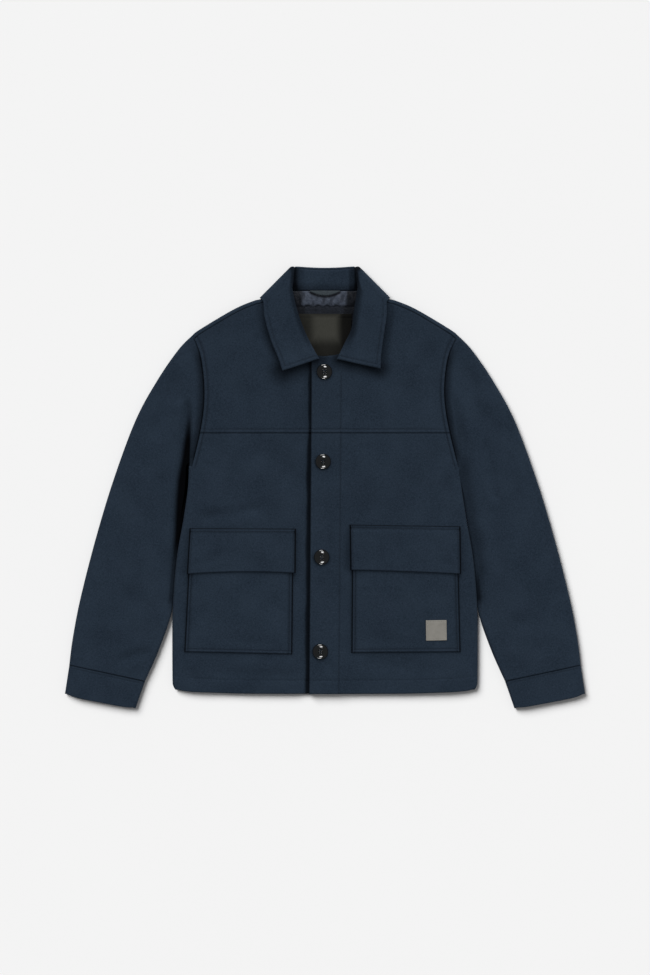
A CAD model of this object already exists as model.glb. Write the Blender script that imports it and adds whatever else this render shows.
# A short navy wool jacket, buttoned and laid flat on its back, seen from straight above.
# Sizes are millimetres until a mesh is made, and left and right are the wearer's.

import math

import bpy
import numpy as np
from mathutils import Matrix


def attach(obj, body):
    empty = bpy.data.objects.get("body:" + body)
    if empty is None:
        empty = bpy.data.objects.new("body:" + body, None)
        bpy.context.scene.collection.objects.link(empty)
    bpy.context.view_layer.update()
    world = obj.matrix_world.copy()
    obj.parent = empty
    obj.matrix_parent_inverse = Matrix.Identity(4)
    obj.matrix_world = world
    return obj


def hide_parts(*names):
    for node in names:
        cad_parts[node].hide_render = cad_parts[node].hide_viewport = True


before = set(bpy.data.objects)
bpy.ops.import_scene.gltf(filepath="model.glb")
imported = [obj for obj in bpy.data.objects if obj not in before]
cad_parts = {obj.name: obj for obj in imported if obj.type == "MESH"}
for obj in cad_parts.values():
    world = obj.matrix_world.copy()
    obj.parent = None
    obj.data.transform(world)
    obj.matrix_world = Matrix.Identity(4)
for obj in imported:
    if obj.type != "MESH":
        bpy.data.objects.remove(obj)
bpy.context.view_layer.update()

# Camera. It looks straight down from as far off as its lens needs to take in the picture's height, in which
# each of 975 rows is 1.77 mm of the surface the jacket lies on. Its middle is half a row from the picture's.
MM = 0.001
PICTURE_ROWS = 975
MM_PER_ROW = 1.77
LENS = 85
SENSOR = 36

camera = bpy.data.objects.new("camera", bpy.data.cameras.new("camera"))
bpy.context.collection.objects.link(camera)
camera.data.lens = LENS
camera.data.sensor_width = SENSOR
camera_height = PICTURE_ROWS * MM_PER_ROW * LENS / SENSOR
camera.location = (0, 0.5 * MM_PER_ROW * MM, camera_height * MM)
bpy.context.scene.camera = camera

# Floor and light. A matt white tabletop in a pale room. The picture is a cut-out on a shadow of its own, so
# one soft light falls on the table alone and three wide ones, beyond collar and sleeves, on the cloth. Two
# smaller ones, above and below in the picture, give the glossy buttons their highlights.
FLOOR = {"colours": ("f0f0f0", "f1f1f1"), "cloud": 1000 / 3, "half": 4, "under": 0.3}
ROOM = {"colour": "f7f7f7", "strength": 0.24}
SOFT_LIGHTS = [
    # name, what it lights, azimuth from the right and elevation, width in degrees, strength
    ("light_on_table", "table", 133, 40, 38, 3.95),
    ("light_beyond_collar", "jacket", 92, 36, 44, 1.9),
    ("light_beyond_left_sleeve", "jacket", 12, 34, 40, 1.15),
    ("light_beyond_right_sleeve", "jacket", 172, 36, 40, 0.75),
    ("light_above_buttons", "buttons", 97, 31, 30, 3.1),
    ("light_below_buttons", "buttons", 262, 33, 26, 2.6),
]


def linear(colour):
    """The linear colour, with full alpha, of an sRGB hex value."""
    parts = [int(colour[k : k + 2], 16) / 255 for k in (0, 2, 4)]
    return (*(p / 12.92 if p <= 0.04045 else ((p + 0.055) / 1.055) ** 2.4 for p in parts), 1)


def fill(material, target, inputs):
    """Gives each input of a node a value, or links it to the socket it is given."""
    for key, value in inputs.items():
        if isinstance(value, bpy.types.NodeSocket):
            material.node_tree.links.new(value, target.inputs[key])
        else:
            target.inputs[key].default_value = value


def node(material, kind, inputs=None, **settings):
    """Adds a node with its settings and inputs."""
    made = material.node_tree.nodes.new(kind)
    for name, value in settings.items():
        setattr(made, name, value)
    fill(material, made, inputs or {})
    return made


def new_material(name):
    """A material and its shader."""
    made = bpy.data.materials.new(name)
    made.use_nodes = True
    return made, made.node_tree.nodes["Principled BSDF"]


def noise(material, size, **more):
    """Noise whose largest grains are about this size."""
    place = node(material, "ShaderNodeTexCoord").outputs["Object"]
    inputs = {"Vector": place, "Scale": 1 / (size * MM), **more}
    return node(material, "ShaderNodeTexNoise", inputs).outputs["Fac"]


def blended(material, share, first, second):
    """The colour between a hex colour, or the colour of a socket, and a second hex colour."""
    first = linear(first) if isinstance(first, str) else first
    colours = {0: share, 6: first, 7: linear(second)}
    return node(material, "ShaderNodeMix", colours, data_type="RGBA").outputs[2]


def painted_tabletop():
    """Matt white paint on board: almost no gloss, and faint clouds where the roller passed."""
    made, shader = new_material("painted_tabletop")
    cloud = noise(made, FLOOR["cloud"], Detail=2.0)
    fill(made, shader, {
        "Base Color": blended(made, cloud, *FLOOR["colours"]), "Roughness": 0.9, "IOR": 1.45,
        "Specular IOR Level": 0.2,
    })
    return made


half, under = FLOOR["half"], FLOOR["under"] * MM
corners = [(-half, -half, -under), (half, -half, -under), (half, half, -under), (-half, half, -under)]
floor_mesh = bpy.data.meshes.new("floor")
floor_mesh.from_pydata(corners, [], [(0, 1, 2, 3)])
floor_mesh.materials.append(painted_tabletop())
floor = bpy.data.objects.new("floor", floor_mesh)
bpy.context.collection.objects.link(floor)

lit = {name: bpy.data.collections.new(name) for name in ("table", "jacket", "buttons")}
lit["table"].objects.link(floor)
for name, subject, azimuth, elevation, width, strength in SOFT_LIGHTS:
    lamp = bpy.data.lights.new(name, "SUN")
    lamp.angle = math.radians(width)
    lamp.energy = strength
    light = bpy.data.objects.new(name, lamp)
    light.light_linking.receiver_collection = lit[subject]
    turn, tilt = math.radians(azimuth), math.radians(elevation)
    light.location = (math.cos(turn) * math.cos(tilt), math.sin(turn) * math.cos(tilt), math.sin(tilt))
    light.rotation_euler = light.location.to_track_quat("Z", "Y").to_euler()
    bpy.context.collection.objects.link(light)

room = bpy.data.worlds.new("room")
room.use_nodes = True
background = room.node_tree.nodes["Background"].inputs
background["Color"].default_value = linear(ROOM["colour"])
background["Strength"].default_value = ROOM["strength"]
bpy.context.scene.world = room
bpy.context.scene.view_settings.view_transform = "Standard"

# The back. One panel of navy melton, quilted inside, that lies on the surface from hem to collar. Its sides
# roll up to the side seams, and its shoulders roll over to the shoulder seams on the front.
MELTON = 1.8
WALL = 4
DOUBLED_MELTON = 3.5
SEAM = 0.4
REST = 0.3
ROLL = 5.2
EDGE_HEIGHT = 2 * ROLL
LOFT = 1.1
LOFT_REACH = 55
COLLAR_UNDER = DOUBLED_MELTON + REST
HEM = [
    (0, -363.9), (133, -363.4), (186, -362.1), (221, -360.9), (239, -359.8), (252, -358.2),
    (259.6, -356.2),
]
YOKE_Y = 97
ARMPIT_Y = 39
BACK_NECK_Y = 348
SHOULDER_SEAM_IN = ROLL + 2
ROLL_STEPS = 7
SHOULDER_STEPS = 9
BACK_MESH = {"wide": 540, "across": 7, "tall": 640, "along": 8}
SIDE = [
    (264.8, -356.2), (268.2, -350), (269.6, -340), (270, -270), (269.3, -212), (262.6, -128), (250.8, -58),
    (243.8, -12), (241.5, 14), (240.5, 39),
]
ARMHOLE = {
    -1: [
        (235.3, 39), (229, 62), (221, 97), (215, 134), (213.2, 168), (215.3, 203), (221, 237),
        (231.5, 263.5),
    ],
    1: [
        (235.3, 39), (229, 62), (220.5, 97), (213.5, 134), (210.6, 168), (212.5, 203), (219, 237),
        (231.5, 263.5),
    ],
}
SHOULDER = [(80, 348), (110, 334.7), (126, 330.6), (162, 315.2), (222, 279.8), (235.3, 269)]
NAVY = {"shade": "161f29", "main": "212b36", "fibre": "354150"}
GRAIN = {"fibre": 2.3, "fleece": 0.7, "cloud": 46}
DARKEST = "010102"


def smooth(low, high, x):
    share = np.clip((x - low) / (high - low), 0, 1)
    return share * share * (3 - 2 * share)


def mix(a, b, share):
    return a + (b - a) * share


def polyline(points):
    """A line through points, as a function of the share of its length."""
    points = np.asarray(points, float)
    run = np.concatenate([[0], np.cumsum(np.hypot(*np.diff(points, axis=0).T))])
    return lambda share: np.stack([np.interp(share, run / run[-1], points[:, k]) for k in (0, 1)], -1)


def curve(points, side=1):
    """A smooth line through a table's points, mirrored to a side."""
    p = np.asarray(points, float) * (side, 1)
    p = np.vstack([p[:1], p, p[-1:]])
    t = np.arange(0, 1, 0.02)[:, None]
    spans = []
    for a, b, c, d in zip(p, p[1:], p[2:], p[3:]):
        u, v = (c - a) / 2, (d - b) / 2
        spans.append((((2 * (b - c) + u + v) * t + 3 * (c - b) - 2 * u - v) * t + u) * t + b)
    return polyline(np.vstack([*spans, p[-1:]]))


armholes = {side: curve(table, side) for side, table in ARMHOLE.items()}


def joined(*lines):
    """Lines end to end, as one line."""
    return polyline(np.vstack([line(np.linspace(0, 1, 200)) for line in lines]))


def length_of(line):
    return np.hypot(*np.diff(line(np.linspace(0, 1, 200)), axis=0).T).sum()


def backwards(line):
    return lambda share: line(1 - np.asarray(share))


def outward(line, share):
    """The way an edge faces, in plan, where the cloth is on its left."""
    along = line(np.minimum(share + 0.01, 1)) - line(np.maximum(share - 0.01, 0))
    along = along / np.linalg.norm(along, axis=-1, keepdims=True)
    return np.stack([along[..., 1], -along[..., 0]], -1)


def beside(line, distance):
    """A line moved to its left by a distance."""
    return lambda share: line(share) - distance * outward(line, np.asarray(share))


def spread(low, high, start, end, u, v):
    """Points of a patch of cloth spread between four edges, at shares across and along it."""
    across = (1 - v)[..., None] * low(u) + v[..., None] * high(u)
    along = (1 - u)[..., None] * start(v) + u[..., None] * end(v)
    twice = ((1 - u) * (1 - v))[..., None] * low(0) + (u * (1 - v))[..., None] * low(1)
    twice = twice + ((1 - u) * v)[..., None] * high(0) + (u * v)[..., None] * high(1)
    return across + along - twice


def places(length, step, *marks):
    """Places along a length: its ends, the marks on it, and between them no more than a step apart."""
    fixed = [0, *sorted(m for m in marks if 0.3 < m < length - 0.3), length]
    kept = [0, *(b for a, b in zip(fixed, fixed[1:]) if b - a > 0.3)]
    runs = [np.linspace(a, b, math.ceil((b - a) / step), endpoint=False) for a, b in zip(kept, kept[1:])]
    return np.concatenate([*runs, [length]])


def warped(at, widths):
    """Places on a first width, as shares of each of several, with distances kept near both ends."""
    length, widths = at[-1], np.asarray(widths)[None, :]
    return (at[:, None] + smooth(0.1, 0.9, at[:, None] / length) * (widths - length)) / widths


def distance(x, y, line):
    """How far points are from a line."""
    p = line(np.linspace(0, 1, 90))
    a, ab = p[:-1], np.diff(p, axis=0)
    q = np.stack([x, y], -1).reshape(-1, 1, 2)
    t = np.clip(((q - a) * ab).sum(-1) / (ab**2).sum(-1), 0, 1)
    return np.sqrt(((a + t[..., None] * ab - q) ** 2).sum(-1)).min(1).reshape(np.shape(x))


def nearest(x, y, lines):
    """How far points are from the nearest of several lines."""
    return np.minimum.reduce([distance(x, y, line) for line in lines])


def mesh_piece(name, finish, points, faces, node_name=None, slot="melton", shade=None):
    """A mesh of faces in millimetres, riding on the jacket, in place of a node if one is named."""
    used, index = np.unique(np.concatenate([np.ravel(f) for f in faces]), return_inverse=True)
    points = np.asarray(points)[used]
    corners, start = [], 0
    for f in faces:
        corners += index[start : start + f.size].reshape(f.shape).tolist()
        start += f.size
    triangles = np.concatenate([f[:, [0, k - 1, k]] for f in faces for k in range(2, f.shape[1])])
    a, b, c = (points[np.searchsorted(used, triangles[:, k])] for k in range(3))
    if (a * np.cross(b, c)).sum() < 0:
        corners = [f[::-1] for f in corners]
    mesh = bpy.data.meshes.new(name)
    mesh.from_pydata((points * MM).tolist(), [], corners)
    mesh.polygons.foreach_set("use_smooth", [True] * len(mesh.polygons))
    if shade is not None:
        values = shade[used].astype(np.float32)
        mesh.attributes.new("shade", "FLOAT", "POINT").data.foreach_set("value", values)
    mesh.materials.append(finish)
    piece = bpy.data.objects.new(name, mesh)
    bpy.context.collection.objects.link(piece)
    lit["buttons" if slot == "button" else "jacket"].objects.link(piece)
    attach(piece, "root")
    if node_name:
        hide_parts(node_name)
    return piece


def wall(name, finish, at, facing, thick, cells=None, ring=False, shade=None, **facts):
    """A closed shell from a grid of its outer face, the way that face looks, and its thickness."""
    n, m = at.shape[:2]
    if cells is None:
        cells = np.ones((n if ring else n - 1, m - 1), bool)
    facing = np.broadcast_to(np.asarray(facing, float), at.shape)
    inner = at - facing * np.broadcast_to(np.asarray(thick, float), (n, m))[..., None]
    i, j = np.nonzero(cells)
    number = lambda i, j: (i % n) * m + j
    out = np.stack([number(i, j), number(i + 1, j), number(i + 1, j + 1), number(i, j + 1)], -1)
    faces = [out, out[:, ::-1] + n * m]
    padded = np.pad(cells, ((1, 1), (0, 0)), mode="wrap" if ring else "constant")
    padded = np.pad(padded, ((0, 0), (1, 1)))
    for di, dj, a, b in ((0, -1, 0, 1), (1, 0, 1, 2), (0, 1, 2, 3), (-1, 0, 3, 0)):
        rim = out[~padded[i + 1 + di, j + 1 + dj]]
        if len(rim):
            faces.append(np.stack([rim[:, b], rim[:, a], rim[:, a] + n * m, rim[:, b] + n * m], -1))
    points = np.concatenate([at.reshape(-1, 3), inner.reshape(-1, 3)])
    tones = None if shade is None else np.tile(np.ravel(shade), 2)
    return mesh_piece(name, finish, points, faces, shade=tones, **facts)


def raised(p, z):
    return np.concatenate([p, np.broadcast_to(z, p.shape[:-1])[..., None]], -1)


def looking(z, *shape):
    """A grid of directions, all straight up, or straight down where z is -1."""
    return np.broadcast_to((0.0, 0, z), (*shape, 3))


def rolled(centre, out, angle, middle, height=ROLL, width=ROLL):
    """Points of a rolled edge and the way they face; angle runs from -90 below to 90 above."""
    flat, up = raised(out, 0) * np.cos(angle), np.array([0, 0, np.sin(angle)])
    return raised(centre, middle) + flat * width + up * height, flat + up


def collar_lift(y):
    """The collar folded under the back of the neck lifts the back and the shoulders."""
    return COLLAR_UNDER * smooth(262, 330, y)


def darkened(made, colour):
    """A colour, darker where a piece says that it lies deep in a crease or under other cloth."""
    deep = node(made, "ShaderNodeAttribute", attribute_name="shade").outputs["Fac"]
    return blended(made, deep, colour, DARKEST)


def ranged(material, value, ends):
    return node(material, "ShaderNodeMapRange", {"Value": value, **ends}).outputs["Result"]


def bumped(material, height, strength, deep):
    inputs = {"Height": height, "Strength": strength, "Distance": deep * MM}
    return node(material, "ShaderNodeBump", inputs).outputs["Normal"]


def wool_melton(name, colours):
    """Melton: woven wool, milled and cropped till the weave is gone under short matted fibre.
    It has no gloss, a faint pale bloom where it turns away, and paler fibres lying every way."""
    made, shader = new_material(name)
    fibre = noise(made, GRAIN["fibre"], Detail=3.0, Roughness=0.65, Distortion=0.6)
    fleece = noise(made, GRAIN["fleece"], Detail=2.0, Roughness=0.6)
    cloud = noise(made, GRAIN["cloud"], Detail=3.0, Roughness=0.5)
    patches = ranged(made, cloud, {"From Min": 0.34, "From Max": 0.66, "To Max": 0.6})
    ground = blended(made, patches, colours["main"], colours["shade"])
    pale = ranged(made, fibre, {"From Min": 0.3, "From Max": 0.72, "To Max": 0.5})
    nap = node(made, "ShaderNodeMath", {0: fibre, 1: fleece}, operation="ADD").outputs[0]
    fill(made, shader, {
        "Base Color": darkened(made, blended(made, pale, ground, colours["fibre"])),
        "Roughness": ranged(made, fleece, {"To Min": 0.86, "To Max": 1.0}),
        "Normal": bumped(made, nap, 0.55, 0.45), "IOR": 1.5, "Specular IOR Level": 0.03,
        "Sheen Weight": 0.04, "Sheen Roughness": 0.45, "Sheen Tint": linear("aeb9c8"),
    })
    return made


melton = wool_melton("wool_melton", NAVY)


def side_inset(side):
    """The middle of the roll along the body's side."""
    line = curve(SIDE, side)
    return lambda share: line(share) - (side * ROLL, 0)


def back():
    side_in, shoulder_in, border = {}, {}, {}
    for side in (-1, 1):
        side_in[side] = side_inset(side)
        shoulder_in[side] = beside(curve(SHOULDER, side), -side * ROLL)
        corner = polyline([armholes[side](1), shoulder_in[side](1)])
        border[side] = joined(side_in[side], armholes[side], corner)
    neck_half = SHOULDER[0][0] - 10
    neck = polyline([
        shoulder_in[-1](0), (-neck_half, BACK_NECK_Y), (neck_half, BACK_NECK_Y), shoulder_in[1](0),
    ])
    hem = curve([(-x, y) for x, y in HEM[:0:-1]] + HEM)
    high = joined(backwards(shoulder_in[-1]), neck, shoulder_in[1])
    shoulder_share = length_of(shoulder_in[1]) / length_of(high)
    side_share = length_of(side_in[1]) / length_of(border[1])
    wide, tall = BACK_MESH["wide"], BACK_MESH["tall"]
    shoulders = wide * shoulder_share, wide * (1 - shoulder_share)
    u = places(wide, BACK_MESH["across"], *shoulders) / wide
    v = places(tall, BACK_MESH["along"], tall * side_share) / tall
    sides = int(np.argmin(abs(v - side_share)))
    first, last = (int(np.argmin(abs(u - s))) for s in (shoulder_share, 1 - shoulder_share))
    shape = (len(u) + 2 * ROLL_STEPS, len(v) + SHOULDER_STEPS + 1)
    at, facing = np.zeros((*shape, 3)), np.zeros((*shape, 3))
    main = slice(ROLL_STEPS, ROLL_STEPS + len(u))
    uu, vv = np.meshgrid(u, v, indexing="ij")
    flat = spread(hem, high, border[-1], border[1], uu, vv)
    at[main, : len(v)] = raised(flat, collar_lift(flat[..., 1]))
    facing[main, : len(v)] = (0, 0, -1)
    rows = v[: sides + 1] / side_share
    for k in range(1, ROLL_STEPS + 1):
        for side, column in ((-1, ROLL_STEPS - k), (1, ROLL_STEPS + len(u) - 1 + k)):
            out = np.tile((float(side), 0), (len(rows), 1))
            angle = -math.pi / 2 * (1 - k / ROLL_STEPS)
            rim = rolled(side_in[side](rows), out, angle, ROLL)
            at[column, : sides + 1], facing[column, : sides + 1] = rim
    for i in (*range(first + 1), *range(last, len(u))):
        side = -1 if i <= first else 1
        share = 1 - (u[i] if side < 0 else 1 - u[i]) / shoulder_share
        centre = shoulder_in[side](share)
        out = outward(curve(SHOULDER, side), share) * -side
        lift = collar_lift(centre[1])
        column = ROLL_STEPS + i
        for k in range(SHOULDER_STEPS):
            angle = math.pi * (min(1, (k + 1) / (SHOULDER_STEPS - 1)) - 0.5)
            at[column, len(v) + k], facing[column, len(v) + k] = rolled(centre, out, angle, ROLL + lift)
        at[column, -1] = (*(centre + out * (ROLL - SHOULDER_SEAM_IN)), EDGE_HEIGHT + lift - 0.5)
        facing[column, -1] = (0, 0, 1)
    cells = np.zeros((shape[0] - 1, shape[1] - 1), bool)
    cells[:, :sides] = True
    cells[main.start : main.stop - 1, : len(v) - 1] = True
    cells[main.start : main.start + first, :] = True
    cells[main.start + last : main.stop - 1, :] = True
    return wall("back_panel", melton, at, facing, WALL, cells, node_name="back")


back_panel = back()

# The sleeves. Each is one piece of melton folded into a flat tube, seamed under the arm and set into the
# armhole. The right one is lifted by the body beside it, so a deep dark gap runs down from its armpit.
SIDES = {"right": -1, "left": 1}
SLEEVE_OUTER = [
    (234.2, 270.2), (259.3, 244.3), (296, 191), (334.5, 120.4), (374, 14), (406, -92), (433, -198),
    (446.5, -269), (452, -313),
]
SLEEVE_INNER = [
    (240.6, 39), (241.7, 14), (244, -12), (251, -58), (262.8, -128), (269.6, -207), (275.5, -236),
    (287, -269), (301, -304), (318.5, -342),
]
SLEEVE_SIDE = 330
SLEEVE_MESH = (200, 500)
# Folds are soft troughs, or ridges where the depth is below zero: two ends, depth, half width, bow.
SLEEVE_FOLDS = {
    -1: [
        (-263, 205, -306, 85, 3.0, 15, -6), (-243, 152, -249, 88, 5.1, 7, 0),
        (-234, 168, -238, 112, -1.7, 6, 0), (-286, 22, -291, -138, 2.0, 13, 4),
        (-322, 40, -346, -132, -1.8, 18, 0), (-308, -290, -364, -309, 2.2, 9, 3),
        (-352, -180, -300, -214, 1.2, 12, 4), (-398, -236, -352, -262, -1.2, 13, 0),
        (-264, -100, -286, -215, 1.4, 9, 3),
    ],
    1: [
        (249, 218, 284, 108, 3.2, 15, 6), (226, 180, 236, 100, -1.8, 7, 0), (230, 158, 245, 70, 3.6, 8, 0),
        (286, 86, 301, -24, 2.2, 8, 3), (338, 86, 363, -24, -1.8, 16, 0),
        (274, -80, 267, -150, 2.4, 11, 0), (359, -118, 377, -198, -1.4, 16, 0),
        (375, -226, 332, -242, 1.5, 12, -3), (368, -286, 408, -270, 1.5, 10, 3),
        (300, -60, 312, -190, 1.2, 12, -4),
    ],
}
# The sleeve sinks beside the body: height, how far out the gap's two sides are, and its depth from 0 to 1.
GAPS = {
    -1: [
        (150, 239, 239, 0), (129, 238.5, 239.5, 0.35), (105, 238.5, 242, 0.85), (85, 238.5, 245, 1),
        (49, 239.5, 250.5, 1), (14, 241, 257, 1), (-21, 240, 260, 1), (-57, 244, 261.5, 1),
        (-92, 250, 263, 1), (-128, 258, 265, 1), (-163, 262, 268, 0.95), (-199, 265, 271, 0.8),
        (-215, 268, 271, 0.3), (-235, 270, 271, 0),
    ],
    1: [
        (170, 226, 228, 0), (120, 232, 236, 0.2), (60, 236, 240, 0.25), (0, 238, 246, 0.2),
        (-57, 246, 254, 0.12), (-110, 256, 264, 0.16), (-140, 262, 266, 0.5), (-165, 263, 268.5, 0.95),
        (-195, 265, 271.5, 1), (-212, 267, 271, 0.5), (-232, 270, 271, 0),
    ],
}
GAP_FLOOR = 3.9
LOW_EDGE_TUCK = 2
TUBE_UNDER_COLUMNS = 20
GAP_SLOPE = {"sleeve": 15, "body": 6}
LEFT_SHADE = 0.36
BODY_FOLDS = [
    (187, 253, 197, 136, 2.5, 14, 6), (204, 66, 164, -18, 2.8, 16, 5), (216, 16, 213, -58, 2.1, 10, 0),
    (83, 60, 76, -32, -1.7, 20, 0), (134, 306, 133, 238, -1.2, 18, 0), (-9, 173, 12, 185, 1.2, 4, 0),
    (-104, 70, -46, 4, 2.5, 20, -5), (-182, 34, -197, -40, -1.5, 16, 0), (-221, -51, -110, -34, 1.8, 9, 3),
    (-196, -326, -44, -330, 1.2, 9, 2), (-250, -318, -221, -346, 1.2, 10, 0),
    (31, -62, 27, -102, 1.4, 6, 0), (-205, 92, -152, -38, 1.4, 20, 4), (-152, 300, -120, 226, -1.2, 20, 0),
    (-80, 196, -62, 120, 1.2, 15, 0), (60, -300, 215, -322, 1.0, 12, 4), (110, 182, 188, 150, 1.0, 16, 4),
    (-66, -305, -140, -345, -0.8, 16, 0), (98, -22, 60, -52, 1.2, 12, 0),
    (-190, 200, -120, 150, 0.9, 18, 4),
]
# Waves: how fast they turn across and along the cloth, where they start, how high.
WAVES = [
    (0.021, 0.013, 0.3, 0.4), (-0.012, 0.027, 1.1, 0.35), (0.043, -0.031, 2.0, 0.2),
    (0.06, 0.05, 0.7, 0.12), (-0.083, 0.041, 4.1, 0.07), (0.035, 0.105, 5.2, 0.07),
]


def folds(x, y, table):
    """How far soft troughs, with low ridges beside them, take the cloth down."""
    total = np.zeros(np.broadcast(x, y).shape)
    for x0, y0, x1, y1, depth, width, bow in table:
        length = math.hypot(x1 - x0, y1 - y0)
        along = ((x - x0) * (x1 - x0) + (y - y0) * (y1 - y0)) / length
        bowed = 4 * bow * np.clip(along / length, 0, 1) * np.clip(1 - along / length, 0, 1)
        off = abs(((x - x0) * (y1 - y0) - (y - y0) * (x1 - x0)) / length - bowed) / width
        fade = smooth(-width, 1.6 * width, along) * smooth(-width, 1.6 * width, length - along)
        total += depth * fade * (np.exp(-(off**2)) - 0.35 * np.exp(-((off - 2) ** 2)))
    return total


def ripple(x, y, size=1.3):
    """Cloth is never quite flat: long low waves that cross, and shorter, lower ones."""
    return size * sum(high * np.sin(x * a + y * b + phase) for a, b, phase, high in WAVES)


def rounded(d, drop=1.3, reach=1.7):
    """How far a turned edge rounds down, at a distance from it."""
    return drop * (1 - np.sqrt(np.clip(1 - (1 - np.clip(d / reach, 0, 1)) ** 2, 0, 1)))


def crease(d, at, width=1.5):
    """How dark, or how deep, a line of sewing is."""
    return np.exp(-(((d - at) / width) ** 2))


def stitched(d, at, depth=0.55):
    """A line of sewing pulls the cloth in, and what is between it and the edge puffs up."""
    return depth * crease(d, at, 1.1) - 0.3 * np.sin(np.pi * np.clip(d / at, 0, 1)) ** 2


def puckers(d, along, reach, high):
    """Small waves square to a seam, where its sewing has drawn the cloth up."""
    wave = np.sin(along / 2.3 + 1.3 * np.sin(along / 17)) * (0.6 + 0.4 * np.sin(along / 31 + 1))
    return high * wave * np.exp(-d / reach)


def cleft(d, reach):
    """How dark the cleft is under a turned edge that lies on other cloth."""
    return smooth(reach, 0.2, d)


def straight(a, b):
    return polyline([a, b])


side_rows = np.array(SIDE)
shoulder_rows = np.array([*SHOULDER, (262, 247.3)])


def body_top(x, y):
    """The top of the body's front, before the fronts lap."""
    side = np.interp(np.minimum(y, ARMPIT_Y), side_rows[:, 1], side_rows[:, 0])
    side = mix(side, SLEEVE_SIDE, smooth(0, 90, y)) - abs(x)
    shoulder = np.interp(np.maximum(SHOULDER[0][0], abs(x)), *shoulder_rows.T) - y
    rim = np.minimum(side, 0.87 * shoulder)
    lies = folds(x, y, BODY_FOLDS) - ripple(x, y)
    return EDGE_HEIGHT + collar_lift(y) + LOFT * smooth(ROLL, LOFT_REACH, rim) - lies * smooth(0, 25, rim)


def tube(name, side, outer, inner, low, high, top, rows, columns, **facts):
    """A flat tube: top sheet, inner roll, bottom sheet, outer roll. A low edge reaches further out."""
    outer_in, inner_in = beside(outer, -side * ROLL), beside(inner, side * ROLL)
    start, end = low(outer_in(0), inner_in(0)), high(outer_in(1), inner_in(1))
    v = rows / rows[-1]
    uu = warped(columns, np.linalg.norm(inner_in(v) - outer_in(v), axis=-1))
    vv = np.broadcast_to(v, uu.shape)
    flat = spread(start, end, outer_in, inner_in, uu, vv)
    z, shade = top(flat[..., 0], flat[..., 1], uu, vv)
    below_u, below_v = np.meshgrid(np.linspace(1, 0, TUBE_UNDER_COLUMNS), v, indexing="ij")
    below = spread(start, end, outer_in, inner_in, below_u, below_v)
    angles = np.pi * (0.5 - np.arange(1, 2 * ROLL_STEPS) / (2 * ROLL_STEPS))
    grids = [(raised(flat, z), looking(1, *uu.shape), shade)]
    edges = (inner, inner_in, side, angles, -1), (outer, outer_in, -side, angles[::-1], 0)
    for line, centre, way, turns, edge in edges:
        out = outward(line, v) * way
        half = z[edge][:, None] / 2
        reach = ROLL + LOW_EDGE_TUCK * (1 - 2 * half / EDGE_HEIGHT)
        at, look = zip(*(rolled(centre(v), out, a, z[edge] / 2, half, reach) for a in turns))
        tone = np.array([shade[edge] * (a > -0.4) for a in turns])
        grids.append((np.array(at), np.array(look), tone))
    grids.insert(2, (raised(below, 0), looking(-1, *below_u.shape), np.zeros(below_u.shape)))
    at, facing, tones = (np.concatenate(part) for part in zip(*grids))
    return wall(name, melton, at, facing, MELTON, ring=True, shade=tones, **facts)


def sunk(x, y, side):
    """How far the sleeve has sunk beside the body, and how dark it is there, both from 0 to 1."""
    heights, near, far, depth = np.array(GAPS[side][::-1]).T
    near, far, depth = (np.interp(y, heights, column) for column in (near, far, depth))
    from_far, from_near = abs(x) - far, abs(x) - near
    above = smooth(26, 37, y)
    body_side = mix(1, smooth(-GAP_SLOPE["body"], 0, from_near), above)
    body_tone = mix(1, smooth(-3, 1, from_near), above)
    drop = smooth(GAP_SLOPE["sleeve"], -2, from_far) * body_side * depth
    wide_shade = LEFT_SHADE * smooth(26, 2, from_far) * smooth(90, 30, y) * smooth(-180, -140, y)
    dark = smooth(9, -1, from_far) * body_tone * depth
    return drop, np.maximum(dark, wide_shade if side > 0 else 0)


def sleeve(which, side):
    outer, inner = curve(SLEEVE_OUTER, side), curve(SLEEVE_INNER, side)

    def top(x, y, u, v):
        own = EDGE_HEIGHT + LOFT * smooth(0, 0.3, u) * smooth(0, 0.3, 1 - u)
        lies = smooth(0, 0.12, u) * smooth(0, 0.08, 1 - u)
        own = own - (folds(x, y, SLEEVE_FOLDS[side]) - ripple(x + 400, y)) * lies
        head = distance(x, y, armholes[side])
        valley = smooth(262, 225, y) * smooth(30, 60, y)
        z = mix(body_top(x, y), own, smooth(0, 0.12, v)) - rounded(head, 1.5, 2.6) + puckers(head, y, 7, 0.3)
        z = z - 2.2 * valley * smooth(13, 0, head) - rounded((1 - v) * length_of(outer), 1.3, 1.7)
        drop, dark = sunk(x, y, side)
        seam_dusk = 0.28 * smooth(2, 0, head) + 0.66 * valley * smooth(17, 0, head)
        by_seam = np.where(y > 32, seam_dusk, 0)
        return mix(z, np.minimum(z, GAP_FLOOR), drop), np.clip(np.maximum(0.98 * dark, by_seam), 0, 0.98)

    head_line = lambda a, b: curve([a, *((x * side, y) for x, y in ARMHOLE[side][-2:0:-1]), b])
    wide, long_ = SLEEVE_MESH
    columns = places(wide, 3.6, 1, 2.5, 4.5, 7, *(wide - np.arange(1, 36, 1.6)))
    rows = places(long_, 3.8, 0.7, 1.5, 2.4, 3.6, long_ - 1.7, long_ - 1, long_ - 0.4)
    return tube(f"sleeve_cloth_{which}", side, outer, inner, head_line, straight, top, rows, columns,
                node_name=f"sleeve_{which}")


for which, side in SIDES.items():
    piece = sleeve(which, side)

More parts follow.
